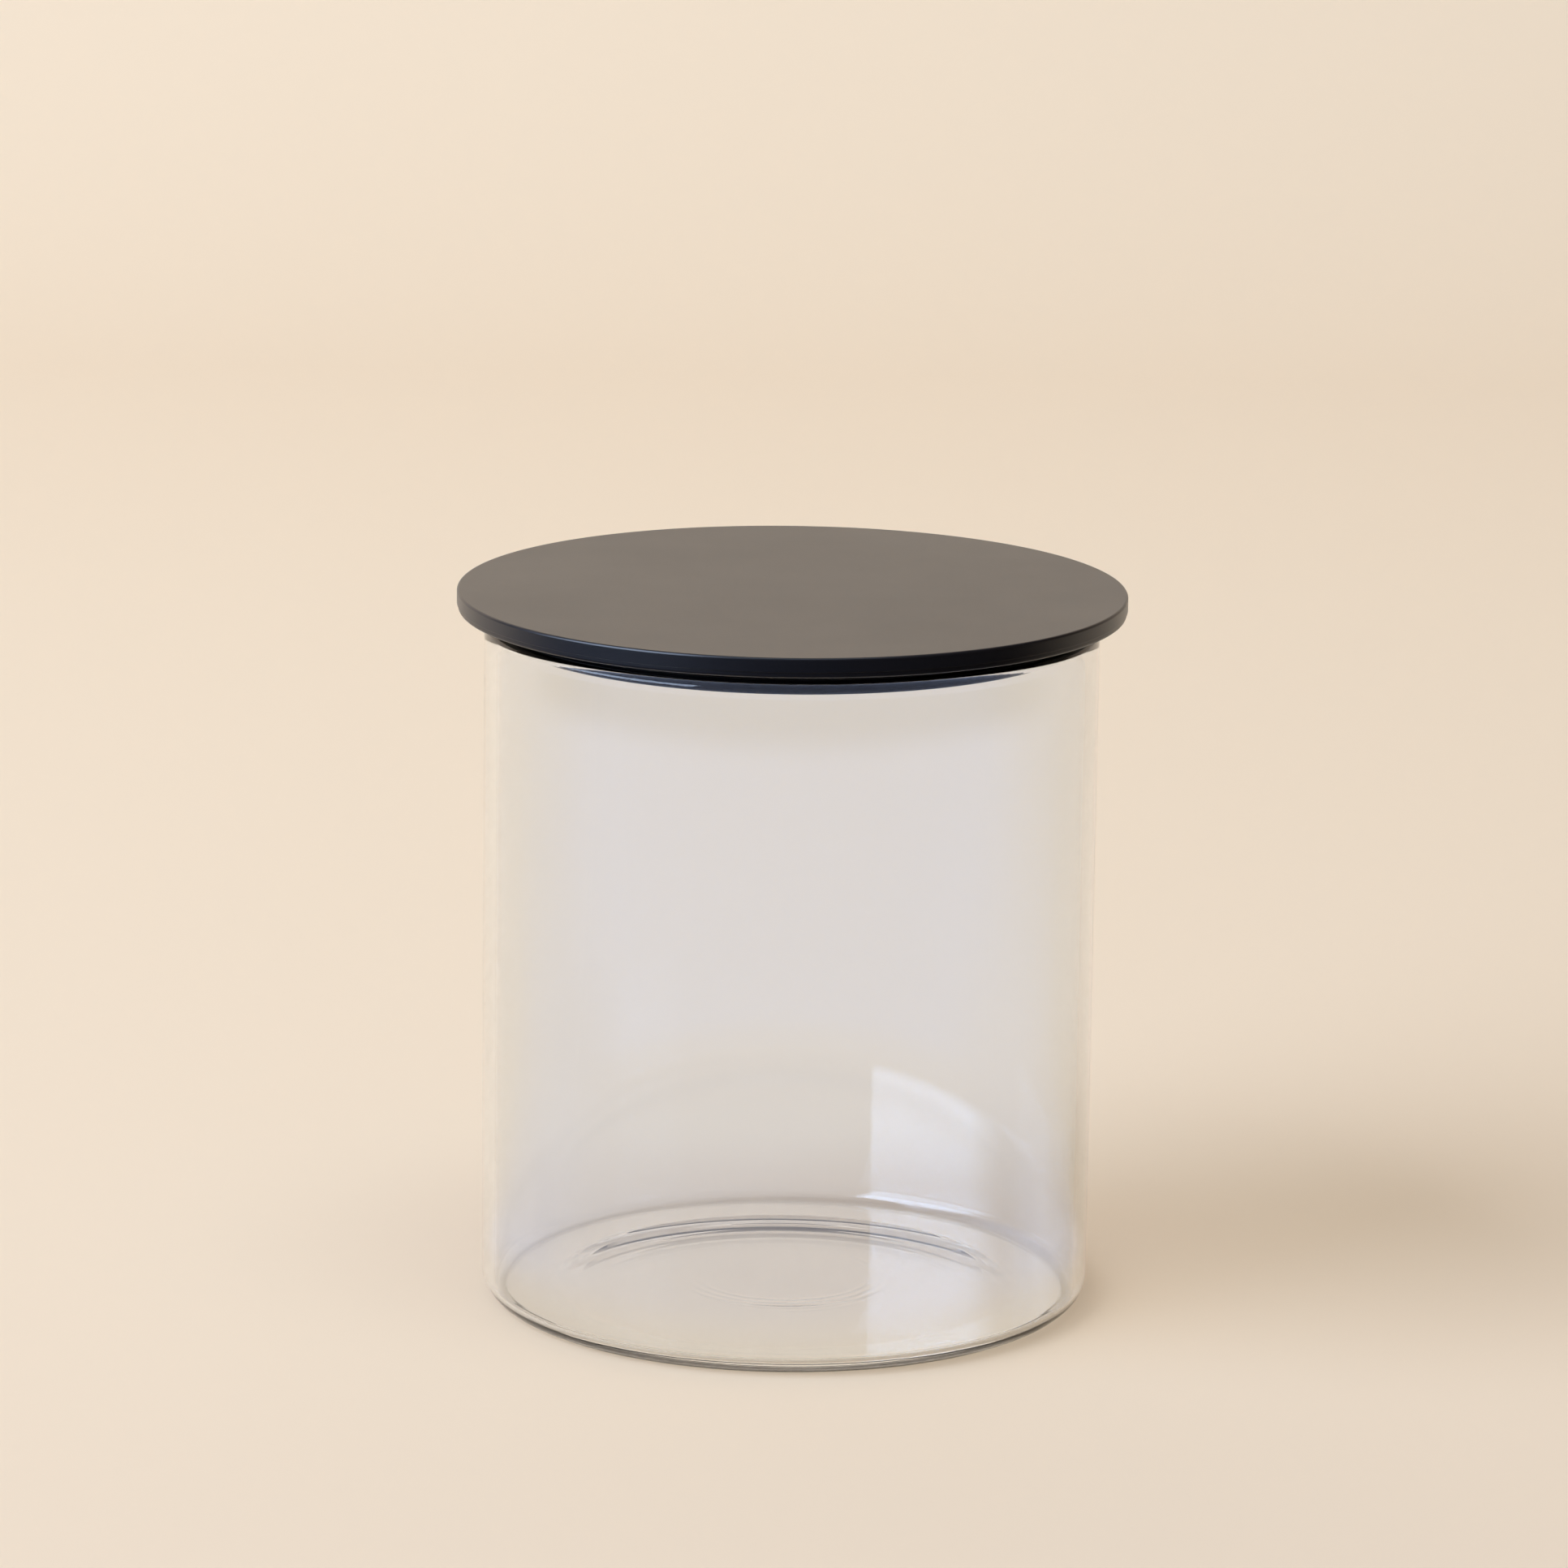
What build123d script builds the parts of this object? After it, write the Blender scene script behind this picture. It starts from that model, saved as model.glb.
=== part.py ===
"""Lidded glass canister: a straight glass jar with a flat black push-in lid.

Millimetres, +Z up. The origin is the centre of the standing ring, on the surface
that the canister stands on. Every round piece is a profile turned about the Z axis.
"""
from build123d import *
import os

# Overall sizes
overall_height = 119.5
lid_radius = 55.0
jar_radius = 50.5

# Glass jar
wall = 2.2
heel_radius = 4.5
foot_inner_radius = 39.0
push_up = 1.0
floor_height = 2.3
floor_crown = 0.4
inner_corner_radius = 1.5

# Lid band, from its top face down to the underside of its flange
cover_band = 2.35
plug_band = 0.95
rim_gap = 2.0
mating_gap = 0.1

# Lid cover
cover_plate = 1.5
skirt_thickness = 1.7
cover_edge_radius = 0.4
parting_chamfer = 0.1
locating_ring_radius = 44.3
locating_ring_thickness = 1.4
locating_ring_depth = 3.4
hub_radius = 8.0
hub_thickness = 1.2
rib_count = 8
rib_thickness = 1.0
rib_depth = 1.6

# Lid plug
plug_set_back = 0.2
plug_edge_radius = 0.5
plug_depth = 4.1
plug_radius = 47.3
plug_corner_radius = 0.2
plug_floor = 1.5
plug_inner_radius = 44.4
panel_radius = 40.0
panel_depth = 0.4
spigot_height = 0.75
spigot_thickness = 1.6

# Seal ring and its groove in the plug
groove_radius = 46.0
groove_lip = 0.4
groove_height = 3.0
seal_clearance = 0.05
seal_band_radius = 47.55
bead_radius = 0.3
bead_pitch = 1.05
bead_overhangs = (0.0, 0.15, 0.5)

# Heights and radii that follow from the sizes above
parting_height = overall_height - cover_band
flange_underside = parting_height - plug_band
plate_underside = overall_height - cover_plate
rim_height = flange_underside - rim_gap
mouth_radius = jar_radius - wall
skirt_radius = lid_radius - skirt_thickness
plug_bottom = flange_underside - plug_depth
groove_bottom = plug_bottom + groove_lip
groove_top = groove_bottom + groove_height


def at(radius, height):
    """A point of a profile, on the XZ plane."""
    return (radius, 0, height)


def outline(points):
    """A closed straight-sided profile through (radius, height) points."""
    return make_face(Polyline([at(*point) for point in points], close=True))


def rounded(face, radius, height, size):
    """The profile with its corner at (radius, height) rounded."""
    corner = face.vertices().sort_by_distance(at(radius, height))[0]
    return fillet(corner, size)


def turned(face):
    """A profile turned once round the Z axis."""
    return revolve(face, axis=Axis.Z)


def ring(inner, outer, bottom, top):
    """A plain ring between two radii and two heights."""
    return turned(outline([(inner, bottom), (outer, bottom), (outer, top), (inner, top)]))


def glass_body():
    """The jar: push-up, standing ring, round heel, straight wall and fire-polished rim."""
    rim_radius = wall / 2
    rim_start = rim_height - rim_radius
    heel_start = jar_radius - heel_radius
    corner_start = mouth_radius - inner_corner_radius
    corner_top = floor_height + inner_corner_radius
    floor_middle = floor_height + floor_crown
    outward = (1, 0, 0)
    upward = (0, 0, 1)
    edges = [
        TangentArc(at(0, push_up), at(foot_inner_radius, 0), tangent=outward),
        Line(at(foot_inner_radius, 0), at(heel_start, 0)),
        TangentArc(at(heel_start, 0), at(jar_radius, heel_radius), tangent=outward),
        Line(at(jar_radius, heel_radius), at(jar_radius, rim_start)),
        TangentArc(at(jar_radius, rim_start), at(mouth_radius, rim_start), tangent=upward),
        Line(at(mouth_radius, rim_start), at(mouth_radius, corner_top)),
        TangentArc(at(corner_start, floor_height), at(mouth_radius, corner_top), tangent=outward),
        TangentArc(at(0, floor_middle), at(corner_start, floor_height), tangent=outward),
        Line(at(0, floor_middle), at(0, push_up)),
    ]
    return turned(make_face(edges))


def lid_cover():
    """The upper shell: flat disc, short skirt, locating ring, hub and stiffening ribs."""
    profile = outline([
        (0, plate_underside),
        (skirt_radius, plate_underside),
        (skirt_radius, parting_height),
        (lid_radius - parting_chamfer, parting_height),
        (lid_radius, parting_height + parting_chamfer),
        (lid_radius, overall_height),
        (0, overall_height),
    ])
    shell = turned(rounded(profile, lid_radius, overall_height, cover_edge_radius))

    ring_inner = locating_ring_radius - locating_ring_thickness
    ring_bottom = plate_underside - locating_ring_depth
    rib_bottom = plate_underside - rib_depth
    hub_inner = hub_radius - hub_thickness
    shell += ring(ring_inner, locating_ring_radius, ring_bottom, plate_underside)
    shell += ring(hub_inner, hub_radius, rib_bottom, plate_underside)

    rib_start = hub_radius - hub_thickness / 2
    rib_length = ring_inner + locating_ring_thickness / 2 - rib_start
    rib = Pos(rib_start, 0, rib_bottom) * Box(
        rib_length, rib_thickness, rib_depth, align=(Align.MIN, Align.CENTER, Align.MIN)
    )
    for index in range(rib_count):
        shell += Rot(0, 0, index * 360 / rib_count) * rib
    return shell


def lid_plug():
    """The lower shell: edge band, spigot, flange, grooved plug wall and closed floor."""
    band_radius = lid_radius - plug_set_back
    spigot_radius = skirt_radius - mating_gap
    spigot_inner = spigot_radius - spigot_thickness
    spigot_top = parting_height + spigot_height
    panel_height = plug_bottom + panel_depth
    floor_top = panel_height + plug_floor
    profile = outline([
        (0, panel_height),
        (panel_radius, panel_height),
        (panel_radius, plug_bottom),
        (plug_radius, plug_bottom),
        (plug_radius, groove_bottom),
        (groove_radius, groove_bottom),
        (groove_radius, groove_top),
        (plug_radius, groove_top),
        (plug_radius, flange_underside),
        (band_radius, flange_underside),
        (band_radius, parting_height),
        (spigot_radius, parting_height),
        (spigot_radius, spigot_top),
        (spigot_inner, spigot_top),
        (spigot_inner, parting_height),
        (plug_inner_radius, parting_height),
        (plug_inner_radius, floor_top),
        (0, floor_top),
    ])
    profile = rounded(profile, band_radius, flange_underside, plug_edge_radius)
    profile = rounded(profile, plug_radius, plug_bottom, plug_corner_radius)
    return turned(profile)


def seal_ring():
    """The silicone ring: a flat band in the groove with three round beads, each wider than the last."""
    bottom = groove_bottom + seal_clearance
    top = groove_top - seal_clearance
    seal = ring(groove_radius + seal_clearance, seal_band_radius, bottom, top)
    for index, overhang in enumerate(bead_overhangs):
        height = bottom + bead_radius + index * bead_pitch
        tip = mouth_radius - seal_clearance + overhang
        low = height - bead_radius
        high = height + bead_radius
        edges = [
            Line(at(groove_radius + 2 * seal_clearance, low), at(tip - bead_radius, low)),
            TangentArc(at(tip - bead_radius, low), at(tip - bead_radius, high), tangent=(1, 0, 0)),
            Line(at(tip - bead_radius, high), at(groove_radius + 2 * seal_clearance, high)),
            Line(at(groove_radius + 2 * seal_clearance, high), at(groove_radius + 2 * seal_clearance, low)),
        ]
        seal += turned(make_face(edges))
    return seal


os.makedirs("parts", exist_ok=True)
export_step(glass_body(), "parts/glass_body.step")
export_step(lid_cover(), "parts/lid_cover.step")
export_step(lid_plug(), "parts/lid_plug.step")
export_step(seal_ring(), "parts/seal_ring.step")
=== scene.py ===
"""Lidded glass canister: the looks of its four pieces, and the studio they stand in.

Everything is in metres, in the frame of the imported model. Each piece is made of profiles of
(radius, height) points turned about the Z axis; only the eight ribs under the lid are straight.
"""
from math import cos, pi, radians, sin

import bpy
import numpy as np
from mathutils import Matrix, Vector


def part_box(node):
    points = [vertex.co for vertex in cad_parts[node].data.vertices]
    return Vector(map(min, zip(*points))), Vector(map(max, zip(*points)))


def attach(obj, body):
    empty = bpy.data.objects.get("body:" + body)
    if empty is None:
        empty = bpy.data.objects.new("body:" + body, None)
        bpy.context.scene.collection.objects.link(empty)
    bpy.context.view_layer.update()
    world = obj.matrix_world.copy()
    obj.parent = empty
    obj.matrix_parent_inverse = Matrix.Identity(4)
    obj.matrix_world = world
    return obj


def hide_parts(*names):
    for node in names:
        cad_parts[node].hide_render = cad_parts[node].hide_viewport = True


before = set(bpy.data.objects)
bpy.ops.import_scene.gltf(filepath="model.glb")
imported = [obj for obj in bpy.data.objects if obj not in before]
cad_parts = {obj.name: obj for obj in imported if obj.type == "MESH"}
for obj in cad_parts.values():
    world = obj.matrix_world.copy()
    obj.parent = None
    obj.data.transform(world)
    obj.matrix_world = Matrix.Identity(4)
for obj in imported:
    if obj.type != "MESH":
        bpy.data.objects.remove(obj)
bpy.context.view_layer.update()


# ---------------------------------------------------------------------------
# Glass jar: clear borosilicate, blown into a mould that is turned, so it has no
# seam. The rim is cut and fire-polished round, the heel is rounded, and the base
# is pushed up inside a flat standing ring.
# ---------------------------------------------------------------------------
mm = 0.001
jar_low, jar_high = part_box("glass_body")
jar_radius = (jar_high.x - jar_low.x) / 2
rim_height = jar_high.z
wall = 2.2 * mm
mouth_radius = jar_radius - wall
heel_radius = 4.5 * mm
foot_inner_radius = 39.0 * mm
push_up = 1.0 * mm
floor_height = 2.3 * mm
floor_crown = 0.4 * mm
inner_corner_radius = 1.5 * mm
floor_edge = mouth_radius - inner_corner_radius
corner_top = floor_height + inner_corner_radius
crease_depth, crease_inset, crease_width = 0.05 * mm, 0.2 * mm, 0.3 * mm
wall_waviness = 0.004 * mm
heel_waviness = 0.03 * mm
ripple_height, ripple_width = 0.045 * mm, 0.35 * mm
ripple_radii = (14.4 * mm, 16.1 * mm, 17.8 * mm)
ripple_turn = radians(65)
wave_start, wave_rise, wave_fall = 8 * mm, 20 * mm, 10 * mm


def arc(centre, radius, start, end, steps):
    """Profile points on a circle: centre plus radius times (cos t, sin t), t even from start to end."""
    t = np.linspace(start, end, steps)
    return np.stack([centre[0] + radius * np.cos(t), centre[1] + radius * np.sin(t)], -1)


def straight(start, end, steps):
    """Profile points on a line, even between its ends, which the arcs beside it already hold."""
    t = np.linspace(0, 1, steps + 2)[1:-1, None]
    return np.array(start) * (1 - t) + np.array(end) * t


def turned(profile, sides, swell=None):
    """Points and faces of a profile turned about Z.

    Profile point j at turn i of sides is (r cos a, r sin a, h) with a = 2 pi i / sides. swell
    takes the grids (a, r, h) and gives what it adds to r and to h. A profile that starts and
    ends on the axis closes there in two poles; any other is a ring and joins end to start.
    """
    poled = profile[0, 0] == 0
    angle, index = np.meshgrid(np.arange(sides) * 2 * pi / sides, np.arange(len(profile)), indexing="ij")
    radius, height = profile[index, 0], profile[index, 1]
    if swell:
        more_radius, more_height = swell(angle, radius, height)
        radius, height = radius + more_radius, height + more_height
    points = np.stack([radius * np.cos(angle), radius * np.sin(angle), height], -1)
    rows = len(profile)
    turn, row = np.meshgrid(np.arange(sides), np.arange(rows - poled), indexing="ij")
    here, beside = turn * rows, (turn + 1) % sides * rows
    after = (row + 1) % rows
    faces = np.stack([here + row, beside + row, beside + after, here + after], -1).reshape(-1, 4)
    return points.reshape(-1, 3), faces


def piece(name, shapes, material, body, slot_name, *nodes):
    """One smooth-shaded mesh of several (points, faces) shapes, riding on a body in place of CAD nodes."""
    points = np.concatenate([shape[0] for shape in shapes])
    starts = np.cumsum([0] + [len(shape[0]) for shape in shapes])
    faces = np.concatenate([shape[1] + start for shape, start in zip(shapes, starts)])
    mesh = bpy.data.meshes.new(name)
    mesh.from_pydata(points, [], faces.tolist())
    mesh.polygons.foreach_set("use_smooth", np.ones(len(faces), bool))
    made = bpy.data.objects.new(name, mesh)
    bpy.context.scene.collection.objects.link(made)
    weld = made.modifiers.new("close_poles", "WELD")
    weld.merge_threshold = 0.0005 * mm
    mesh.materials.append(material)
    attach(made, body)
    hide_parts(*nodes)
    return made


def linear(code):
    """An sRGB hex colour as the linear colour that a shader takes."""
    channels = np.array([int(code[i : i + 2], 16) for i in (1, 3, 5)]) / 255
    low, high = channels / 12.92, ((channels + 0.055) / 1.055) ** 2.4
    return (*np.where(channels <= 0.04045, low, high), 1.0)


def add(tree, kind, values=None, links=None, **settings):
    """Adds a shader node, sets its own settings and its sockets' values, and links outputs into it."""
    node = tree.nodes.new("ShaderNode" + kind)
    for name, value in settings.items():
        setattr(node, name, value)
    for name, value in (values or {}).items():
        node.inputs[name].default_value = value
    for name, output in (links or {}).items():
        tree.links.new(output, node.inputs[name])
    return node


def new_material(name):
    """An empty node material."""
    material = bpy.data.materials.new(name)
    material.use_nodes = True
    material.node_tree.nodes.clear()
    return material, material.node_tree


def underside(radius):
    """The base from below: it falls from the middle as a power of the radius, and eases into the ring.

    Out to where the ease starts the slope grows as radius to the power - 1; over the ease it
    drops evenly to nothing, so the two falls share the push-up as power to half the ease.
    """
    power, ease = 3.8, 1.5 * mm
    start = foot_inner_radius - ease
    inside = np.minimum(radius, start)
    past = np.maximum(radius - start, 0)
    fall = push_up / (start / power + ease / 2)
    return push_up - fall * (start / power * (inside / start) ** power + past - past**2 / (2 * ease))


def inside_floor(radius):
    """The base from inside: a low crown, and a fine crease where it meets the corner."""
    crease = crease_depth * np.exp(-(((radius - floor_edge + crease_inset) / crease_width) ** 2))
    return floor_height + floor_crown * (1 - (radius / floor_edge) ** 2) - crease


under = np.linspace(0, foot_inner_radius, 120)
fine_out_to = 44 * mm
over = np.concatenate([np.linspace(floor_edge, fine_out_to, 40)[:-1], np.linspace(fine_out_to, 0, 120)])
rim_start = rim_height - wall / 2
jar_profile = np.concatenate([
    np.stack([under, underside(under)], -1),
    straight((foot_inner_radius, 0), (jar_radius - heel_radius, 0), 4),
    arc((jar_radius - heel_radius, heel_radius), heel_radius, -pi / 2, 0, 16),
    straight((jar_radius, heel_radius), (jar_radius, rim_start), 60),
    arc((jar_radius - wall / 2, rim_start), wall / 2, 0, pi, 16),
    straight((mouth_radius, rim_start), (mouth_radius, corner_top), 60),
    arc((floor_edge, corner_top), inner_corner_radius, 0, -pi / 2, 12)[:-1],
    np.stack([over, inside_floor(over)], -1),
])


def blown(angle, radius, height):
    """Slow unevenness of blown glass.

    Sine waves go round and up the inner wall, and finer ones round the heel. Three low rings, each
    a bell curve of the radius, ripple the middle of the floor and fade out towards one side.
    """
    inner = (radius < mouth_radius + 0.1 * mm) & (height > corner_top)
    rise = np.clip((height - wave_start) / wave_rise, 0, 1) * np.clip((rim_start - height) / wave_fall, 0, 1)
    wall_wave = wall_waviness * np.sin(3 * angle + 60 * height) * np.cos(2 * angle - 35 * height + 1)
    heel = (radius > jar_radius - heel_radius) & (height < heel_radius) & (height > 0)
    heel_wave = heel_waviness * (np.sin(11 * angle + 1) * np.sin(5 * angle) + 0.6 * np.sin(23 * angle + 2))
    share = np.sin(np.clip(height / heel_radius, 0, 1) * pi)
    rings = sum(np.exp(-(((radius - ring) / ripple_width) ** 2)) for ring in ripple_radii)
    ripple = (height > floor_height) * ripple_height * rings * (0.5 + 0.5 * np.cos(angle + ripple_turn)) ** 2
    return inner * rise * wall_wave + heel * share * heel_wave, ripple


# Clear borosilicate: IOR 1.47, mirror-smooth, with a faint cold grey from the thickness of the wall.
# Lamps' rays and bounced light pass straight through, so it throws the light shadow that thin
# glass does. A mask dims them at the heel and inside corner: a painted shadow for the light this
# thick, curved glass really bends away, which leaves the soft dark ring round the floor.
dim_radii = (45.5 * mm, 47.0 * mm)
dim_heights = (5.0 * mm, 2.0 * mm)
glass, tree = new_material("blown_borosilicate_glass")
light_path = add(tree, "LightPath")
surface = add(tree, "BsdfPrincipled", {
    "Base Color": linear("#F6F9FC"), "Roughness": 0.0, "IOR": 1.47, "Transmission Weight": 1.0})
place = add(tree, "TexCoord").outputs["Object"]
level = add(tree, "VectorMath", {1: (1, 1, 0)}, {0: place}, operation="MULTIPLY")
reach = add(tree, "VectorMath", links={0: level.outputs[0]}, operation="LENGTH")
at_corner = add(tree, "MapRange", {"From Min": dim_radii[0], "From Max": dim_radii[1]},
                {"Value": reach.outputs["Value"]})
height = add(tree, "SeparateXYZ", links={0: place})
at_heel = add(tree, "MapRange", {"From Min": dim_heights[0], "From Max": dim_heights[1]},
              {"Value": height.outputs["Z"]})
painted_shadow_mask = add(tree, "Math", links={0: at_corner.outputs[0], 1: at_heel.outputs[0]}, operation="MULTIPLY")
# Painted shadow: lamp rays and bounced light come through grey where the heel mask is on.
let_through = add(tree, "Mix", {6: linear("#FFFEFC"), 7: linear("#DCDAD6")}, {0: painted_shadow_mask.outputs[0]},
                  data_type="RGBA")
clear = add(tree, "BsdfTransparent", links={"Color": let_through.outputs[2]})
lamp_rays = add(tree, "MixShader", links={
    0: light_path.outputs["Is Shadow Ray"], 1: surface.outputs[0], 2: clear.outputs[0]})
bounced_rays = add(tree, "MixShader", links={
    0: light_path.outputs["Is Diffuse Ray"], 1: lamp_rays.outputs[0], 2: clear.outputs[0]})
add(tree, "OutputMaterial", links={"Surface": bounced_rays.outputs[0]})

piece("glass_jar", [turned(jar_profile, 256, blown)], glass, "jar", "clear_glass", "glass_body")


# ---------------------------------------------------------------------------
# Lid plug: black ABS tray, injection moulded. Its flange is the lowest 0.95 mm of
# the lid's 3.3 mm edge band; its wall holds the seal's groove and goes into the mouth.
# ---------------------------------------------------------------------------
plug_low, plug_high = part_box("lid_plug")
cover_low, cover_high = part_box("lid_cover")
lid_radius = (cover_high.x - cover_low.x) / 2
lid_top = cover_high.z
cover_band, plug_band = 2.35 * mm, 0.95 * mm
parting_height = lid_top - cover_band
flange_underside = parting_height - plug_band
plug_bottom = plug_low.z
band_radius = (plug_high.x - plug_low.x) / 2
plug_radius = 47.3 * mm
plug_inner_radius = 44.4 * mm
skirt_radius = lid_radius - 1.7 * mm
spigot_outer = skirt_radius - 0.1 * mm
spigot_inner = skirt_radius - 1.7 * mm
spigot_top = parting_height + 0.75 * mm
panel_radius, panel_depth = 40.0 * mm, 0.4 * mm
groove_radius = 46.0 * mm
groove_bottom = plug_bottom + 0.4 * mm
groove_top = groove_bottom + 3.0 * mm
floor_top = plug_bottom + 1.9 * mm


def rounded(corners, steps=6):
    """A profile through (radius, height, corner radius) corners.

    An arc tangent to both sides takes the place of each corner, found by turning evenly from one
    tangent point to the other, and a point beside each end of it keeps the flats beside it flat.
    """
    points = np.array([corner[:2] for corner in corners])
    profile = []
    for index, (point, size) in enumerate(zip(points, [corner[2] for corner in corners])):
        if size == 0:
            profile.append(point[None])
            continue
        back = points[index - 1] - point
        ahead = points[(index + 1) % len(points)] - point
        back, ahead = back / np.hypot(*back), ahead / np.hypot(*ahead)
        half = np.arccos(back @ ahead) / 2
        reach = size / np.tan(half)
        middle = back + ahead
        centre = point + middle / np.hypot(*middle) * size / np.sin(half)
        start, end = point + back * reach - centre, point + ahead * reach - centre
        t, sweep = np.linspace(0, 1, steps + 1)[:, None], pi - 2 * half
        turn = (np.sin((1 - t) * sweep) * start + np.sin(t * sweep) * end) / np.sin(sweep)
        beside = reach + 0.03 * mm
        profile += [(point + back * beside)[None], centre + turn, (point + ahead * beside)[None]]
    return np.concatenate(profile)


plug_profile = rounded([
    (0, plug_bottom + panel_depth, 0),
    (panel_radius, plug_bottom + panel_depth, 0.15 * mm),
    (panel_radius + panel_depth, plug_bottom, 0.15 * mm),
    (plug_radius, plug_bottom, 0.15 * mm),
    (plug_radius, groove_bottom, 0.08 * mm),
    (groove_radius, groove_bottom, 0.1 * mm),
    (groove_radius, groove_top, 0.1 * mm),
    (plug_radius, groove_top, 0.1 * mm),
    (plug_radius, flange_underside, 0.15 * mm),
    (band_radius, flange_underside, 0.45 * mm),
    (band_radius, parting_height, 0.06 * mm),
    (spigot_outer, parting_height, 0.05 * mm),
    (spigot_outer, spigot_top, 0.15 * mm),
    (spigot_inner, spigot_top, 0.15 * mm),
    (spigot_inner, parting_height, 0.1 * mm),
    (plug_inner_radius, parting_height, 0.2 * mm),
    (plug_inner_radius, floor_top, 0.4 * mm),
    (0, floor_top, 0),
])

# Black ABS from a spark-eroded mould: near-black with a trace of blue, IOR 1.5, and a fine grain
# that spreads a nearly even gloss. Real grain is about 0.15 mm; it is drawn 0.4 mm wide to show.
grain_width, cloud_width = 0.4 * mm, 22 * mm
abs_plastic, tree = new_material("spark_eroded_black_abs")
place = add(tree, "TexCoord").outputs["Object"]
grain = add(tree, "TexNoise", {"Scale": 1 / grain_width, "Detail": 2.0, "Roughness": 0.6}, {"Vector": place})
cloud = add(tree, "TexNoise", {"Scale": 1 / cloud_width, "Detail": 3.0, "Roughness": 0.5}, {"Vector": place})
dryness = add(tree, "MapRange", {"From Min": 0.3, "From Max": 0.7, "To Min": 0.3, "To Max": 0.32},
              {"Value": cloud.outputs[0]})
relief = add(tree, "Bump", {"Strength": 0.16, "Distance": 0.02 * mm}, {"Height": grain.outputs[0]})
shade = add(tree, "Mix", {6: linear("#0F1015"), 7: linear("#15161D")}, {0: grain.outputs[0]},
            data_type="RGBA")
surface = add(tree, "BsdfPrincipled", {"IOR": 1.5}, {
    "Base Color": shade.outputs[2], "Roughness": dryness.outputs[0], "Normal": relief.outputs[0]})
add(tree, "OutputMaterial", links={"Surface": surface.outputs[0]})

piece("plug_tray", [turned(plug_profile, 192)], abs_plastic, "lid", "black_lid_plastic", "lid_plug")


# ---------------------------------------------------------------------------
# Seal ring: black silicone rubber, compression moulded and stretched into the
# plug's groove. The lowest of its three round beads stands 0.05 mm clear of the
# glass, and the two above are wider, where the rim rounds away.
# ---------------------------------------------------------------------------
seal_clearance = 0.05 * mm
seal_inner = groove_radius + seal_clearance
seal_bottom = groove_bottom + seal_clearance
seal_top = groove_top - seal_clearance
band_face = 47.55 * mm
bead_radius = 0.3 * mm
bead_pitch = 1.05 * mm
bead_overhangs = (0.0, 0.15 * mm, 0.5 * mm)
root_step = 0.05 * mm

seal_profile = [[(seal_inner, seal_bottom)]]
for number, overhang in enumerate(bead_overhangs):
    level = seal_bottom + bead_radius + number * bead_pitch
    tip = mouth_radius - seal_clearance + overhang - bead_radius
    if number:
        seal_profile.append([(band_face, level - bead_radius - root_step), (band_face, level - bead_radius)])
    seal_profile.append(arc((tip, level), bead_radius, -pi / 2, pi / 2, 13))
    seal_profile.append([(band_face, level + bead_radius), (band_face, level + bead_radius + root_step)])
seal_profile.append([(band_face, seal_top), (seal_inner, seal_top)])

# Silicone from a polished mould: black, IOR 1.43, satin, with a trace of mould-release haze. Its
# shine is held low: a real bead presses on the glass and leaves hardly any air there to shine against.
haze_width = 3 * mm
silicone, tree = new_material("moulded_black_silicone")
place = add(tree, "TexCoord").outputs["Object"]
haze = add(tree, "TexNoise", {"Scale": 1 / haze_width, "Detail": 4.0}, {"Vector": place})
gloss = add(tree, "MapRange", {"From Min": 0.3, "From Max": 0.7, "To Min": 0.3, "To Max": 0.4},
            {"Value": haze.outputs[0]})
surface = add(tree, "BsdfPrincipled", {
    "Base Color": linear("#0E0F11"), "IOR": 1.43, "Specular IOR Level": 0.06}, {
    "Roughness": gloss.outputs[0]})
add(tree, "OutputMaterial", links={"Surface": surface.outputs[0]})

piece("silicone_seal", [turned(np.concatenate(seal_profile), 192)], silicone,
      "seal", "black_silicone", "seal_ring")


# ---------------------------------------------------------------------------
# Lid cover: black ABS disc with a short skirt, injection moulded, pressed over the
# plug's spigot. A locating ring, a hub and eight ribs stiffen it inside.
# ---------------------------------------------------------------------------
plate_underside = lid_top - 1.5 * mm
ring_outer = 44.3 * mm
ring_inner = 42.9 * mm
ring_bottom = plate_underside - 3.4 * mm
hub_outer = 8.0 * mm
hub_inner = 6.8 * mm
rib_bottom = plate_underside - 1.6 * mm
rib_count = 8
rib_half_width = 0.5 * mm
rib_overlap = 0.2 * mm

disc_profile = rounded([
    (0, plate_underside, 0),
    (skirt_radius, plate_underside, 0.15 * mm),
    (skirt_radius, parting_height, 0.05 * mm),
    (lid_radius, parting_height, 0.08 * mm),
    (lid_radius, lid_top, 0.4 * mm),
    (0, lid_top, 0),
])


def band(inner, outer, bottom, top):
    """The profile of a plain ring with its edges eased."""
    ease = 0.1 * mm
    return rounded([(inner, bottom, ease), (outer, bottom, ease), (outer, top, ease), (inner, top, ease)], 3)


def ribs(count, start, end, half_width, bottom, top):
    """Radial bars: the eight corners of one bar, turned about Z by each step of a full turn."""
    near, side, low = np.meshgrid([start, end], [-half_width, half_width], [bottom, top], indexing="ij")
    corners = np.stack([near, side, low], -1).reshape(-1, 3)
    turn = np.arange(count) * 2 * pi / count
    x = np.cos(turn)[:, None] * corners[:, 0] - np.sin(turn)[:, None] * corners[:, 1]
    y = np.sin(turn)[:, None] * corners[:, 0] + np.cos(turn)[:, None] * corners[:, 1]
    z = np.broadcast_to(corners[:, 2], x.shape)
    box = np.array([[0, 1, 3, 2], [4, 6, 7, 5], [0, 4, 5, 1], [2, 3, 7, 6], [0, 2, 6, 4], [1, 5, 7, 3]])
    faces = box[None] + np.arange(count)[:, None, None] * len(corners)
    return np.stack([x, y, z], -1).reshape(-1, 3), faces.reshape(-1, 4)


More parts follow.
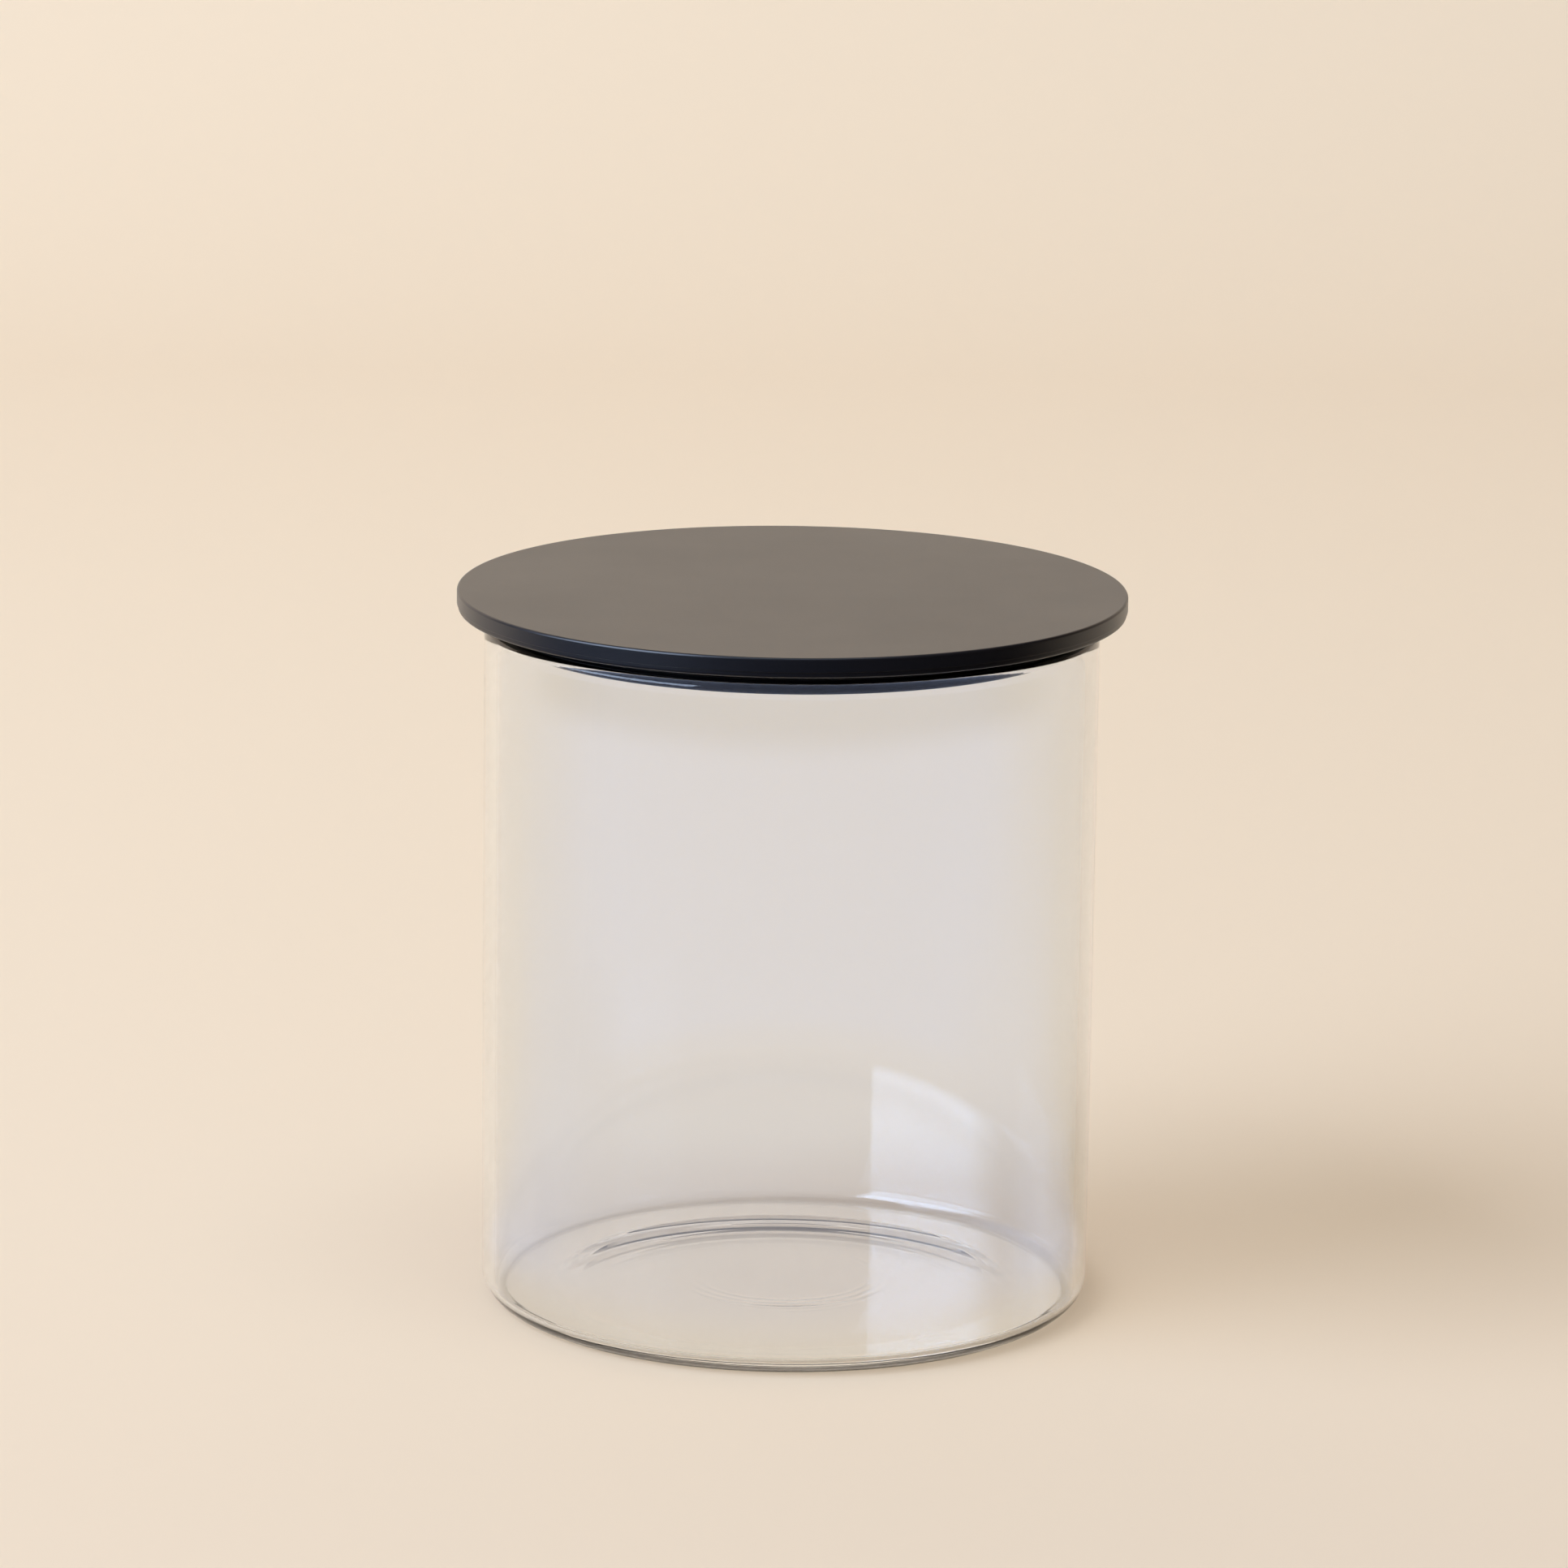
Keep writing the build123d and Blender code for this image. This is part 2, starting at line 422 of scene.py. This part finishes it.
piece("cover_disc", [
    turned(disc_profile, 192),
    turned(band(ring_inner, ring_outer, ring_bottom, plate_underside), 192),
    turned(band(hub_inner, hub_outer, rib_bottom, plate_underside), 64),
    ribs(rib_count, hub_outer - rib_overlap, ring_inner + rib_overlap, rib_half_width, rib_bottom,
         plate_underside),
], abs_plastic, "lid", "black_lid_plastic", "lid_cover")


# ---------------------------------------------------------------------------
# Studio: a warm paper sweep, a tall soft window to the left, a dim warm fill from
# above, a cool wash on the back, and a long-lens camera a little above the lid.
# ---------------------------------------------------------------------------
fibre_width = 0.8 * mm
paper, tree = new_material("matte_peach_paper")
place = add(tree, "TexCoord").outputs["Object"]
fibre = add(tree, "TexNoise", {"Scale": 1 / fibre_width, "Detail": 3.0}, {"Vector": place})
relief = add(tree, "Bump", {"Strength": 0.15, "Distance": 0.05 * mm}, {"Height": fibre.outputs[0]})
surface = add(tree, "BsdfPrincipled", {
    "Base Color": linear("#F3D8B6"), "Roughness": 0.9, "Specular IOR Level": 0.0}, {
    "Normal": relief.outputs[0]})
add(tree, "OutputMaterial", links={"Surface": surface.outputs[0]})

sweep_front, sweep_back, sweep_radius, sweep_top, sweep_half_width = -2.5, 0.9, 0.8, 2.6, 2.5
front_drop = 0.05 * mm
turn = np.linspace(-pi / 2, 0, 40)
along = np.concatenate([
    [(sweep_front, -front_drop)],
    np.stack([sweep_back + sweep_radius * np.cos(turn), sweep_radius + sweep_radius * np.sin(turn)], -1),
    [(sweep_back + sweep_radius, sweep_top)],
])
sides = np.array([sweep_half_width, -sweep_half_width])
sweep_points = np.stack([np.repeat(sides[:, None], len(along), 1),
                         np.stack([along[:, 0]] * 2), np.stack([along[:, 1]] * 2)], -1)
step = np.arange(len(along) - 1)
sweep_faces = np.stack([step + len(along), step, step + 1, step + len(along) + 1], -1)
sweep_mesh = bpy.data.meshes.new("paper_sweep")
sweep_mesh.from_pydata(sweep_points.reshape(-1, 3), [], sweep_faces.tolist())
sweep_mesh.polygons.foreach_set("use_smooth", np.ones(len(sweep_faces), bool))
sweep_mesh.materials.append(paper)
sweep = bpy.data.objects.new("paper_sweep", sweep_mesh)
bpy.context.scene.collection.objects.link(sweep)


def lamp(name, place, aim, width, height, radiance, colour):
    """A rectangular soft light at place, facing aim: its power is radiance times its area times pi."""
    data = bpy.data.lights.new(name, "AREA")
    data.shape = "RECTANGLE"
    data.size, data.size_y = width, height
    data.energy = radiance * width * height * pi
    data.color = linear(colour)[:3]
    made = bpy.data.objects.new(name, data)
    bpy.context.scene.collection.objects.link(made)
    made.location = place
    made.rotation_euler = (Vector(aim) - Vector(place)).to_track_quat("-Z", "Y").to_euler()
    return made


window_turn = radians(67)
window_distance = 2.4
window_width = 2.9
window_low, window_high = 0.28, 4.06
window_middle = (window_low + window_high) / 2
window_radiance = 7.6
window_place = (-window_distance * sin(window_turn), -window_distance * cos(window_turn), window_middle)
window = lamp("window", window_place, aim=(0, 0, window_middle), width=window_width,
              height=window_high - window_low, radiance=window_radiance, colour="#CEE1FF")

# The window dims over the last third of its width, as a curtain drawn part of the way across
# would make it, so its reflection has one soft edge.
window.data.use_nodes = True
tree = window.data.node_tree
across = add(tree, "SeparateXYZ", links={0: add(tree, "NewGeometry").outputs["Parametric"]})
curtain = add(tree, "MapRange", {"From Min": 0.0, "From Max": 0.35, "To Min": 0.15, "To Max": 1.1},
              {"Value": across.outputs["X"]}, interpolation_type="SMOOTHSTEP")
tree.links.new(curtain.outputs[0], tree.nodes["Emission"].inputs["Strength"])

lamp("ceiling", (0.2, -0.6, 2.2), aim=(0.2, -0.5, 0), width=2.0, height=2.0, radiance=0.25,
     colour="#FFD0A0")
wash = lamp("backdrop_wash", (0, -0.4, 2.6), aim=(0, 1.0, 0.0), width=2.0, height=1.0, radiance=0.9,
            colour="#C4E6FF")
wash.data.spread = radians(75)

# A painted reflection: a flat ring round the jar that glows but is no lamp, seen only in reflections
# in front of the jar and beside it. It paints a dark room there, and within half a metre a pale cool
# glow, which shows only in the mirror-sharp reflections of the clear glass.
glow_reach, glow_fade, reflection_ring_reach = 0.54, 0.05, 2.4
glow_strength = 1.3
front_fade = (-0.5, 0.25)
jar_margin = (0.058, 0.09)
painted_reflection_ring, tree = new_material("painted_reflections")
place = add(tree, "TexCoord").outputs["Object"]
away = add(tree, "VectorMath", links={0: place}, operation="LENGTH")
within = add(tree, "MapRange", {"From Min": glow_reach, "From Max": glow_reach - glow_fade},
             {"Value": away.outputs["Value"]}, interpolation_type="SMOOTHSTEP")
path = add(tree, "LightPath")
mirrored = add(tree, "Math", links={0: path.outputs["Is Singular Ray"], 1: within.outputs[0]},
               operation="MULTIPLY")
# Painted reflection colours: dark for the room, and pale cool where the glow reaches.
shade = add(tree, "Mix", {6: linear("#16171C"), 7: linear("#CAD8FF")}, {0: mirrored.outputs[0]},
            data_type="RGBA")
glow = add(tree, "Emission", {"Strength": glow_strength}, {"Color": shade.outputs[2]})
unseen = add(tree, "BsdfTransparent")
outward = add(tree, "VectorMath", links={0: place}, operation="NORMALIZE")
ahead = add(tree, "VectorMath", {1: (0, -1, 0)}, {0: outward.outputs[0]}, operation="DOT_PRODUCT")
front = add(tree, "MapRange", {"From Min": front_fade[0], "From Max": front_fade[1]},
            {"Value": ahead.outputs["Value"]}, interpolation_type="SMOOTHSTEP")
clear_of_jar = add(tree, "MapRange", {"From Min": jar_margin[0], "From Max": jar_margin[1]},
                   {"Value": away.outputs["Value"]}, interpolation_type="SMOOTHSTEP")
reflected = add(tree, "Math", {1: 0.5}, {0: path.outputs["Glossy Depth"]}, operation="GREATER_THAN")
share = add(tree, "Math", links={0: reflected.outputs[0], 1: front.outputs[0]}, operation="MULTIPLY")
share = add(tree, "Math", links={0: share.outputs[0], 1: clear_of_jar.outputs[0]}, operation="MULTIPLY")
mixed = add(tree, "MixShader", links={0: share.outputs[0], 1: unseen.outputs[0], 2: glow.outputs[0]})
add(tree, "OutputMaterial", links={"Surface": mixed.outputs[0]})
painted_reflection_ring.cycles.emission_sampling = "NONE"

reflection_ring_sides, reflection_ring_height = 64, 0.1 * mm
reflection_ring_start = 1.04 * jar_radius
edge = np.arange(reflection_ring_sides) * 2 * pi / reflection_ring_sides
circle = np.stack([np.cos(edge), np.sin(edge), np.zeros(reflection_ring_sides)], -1)
reflection_ring_points = np.concatenate([circle * reflection_ring_start, circle * reflection_ring_reach]) + (0, 0, reflection_ring_height)
here = np.arange(reflection_ring_sides)
beside = (here + 1) % reflection_ring_sides
reflection_ring_faces = np.stack([here, here + reflection_ring_sides, beside + reflection_ring_sides, beside], -1)
reflection_ring_mesh = bpy.data.meshes.new("painted_reflection_ring")
reflection_ring_mesh.from_pydata(reflection_ring_points, [], reflection_ring_faces.tolist())
reflection_ring_mesh.materials.append(painted_reflection_ring)
reflection_ring = bpy.data.objects.new("painted_reflection_ring", reflection_ring_mesh)
bpy.context.scene.collection.objects.link(reflection_ring)
reflection_ring.visible_shadow = reflection_ring.visible_diffuse = False

world = bpy.data.worlds.new("dim_room")
bpy.context.scene.world = world
world.use_nodes = True
background = world.node_tree.nodes["Background"]
background.inputs["Color"].default_value = linear("#FFD4B4")
background.inputs["Strength"].default_value = 0.09

camera_distance = 1.197
camera_height = 0.361
aim_height = 0.0867
aim_side = -0.001
camera_roll = radians(0.75)
camera_data = bpy.data.cameras.new("camera")
camera_data.lens = 171.0
camera_data.sensor_width = 36.0
camera_data.clip_start = 0.05
camera = bpy.data.objects.new("camera", camera_data)
bpy.context.scene.collection.objects.link(camera)
bpy.context.scene.camera = camera
camera.location = (0, -camera_distance, camera_height)
looking = (Vector((aim_side, 0, aim_height)) - camera.location).to_track_quat("-Z", "Y")
camera.rotation_euler = (looking.to_matrix() @ Matrix.Rotation(camera_roll, 3, "Z")).to_euler()
bpy.context.scene.view_settings.view_transform = "Standard"

# Light trapped in the base turns many times before it leaves, and is black if it is cut short.
cycles = bpy.context.scene.cycles
cycles.max_bounces = 32
cycles.transmission_bounces = 32
cycles.glossy_bounces = 16
cycles.transparent_max_bounces = 24
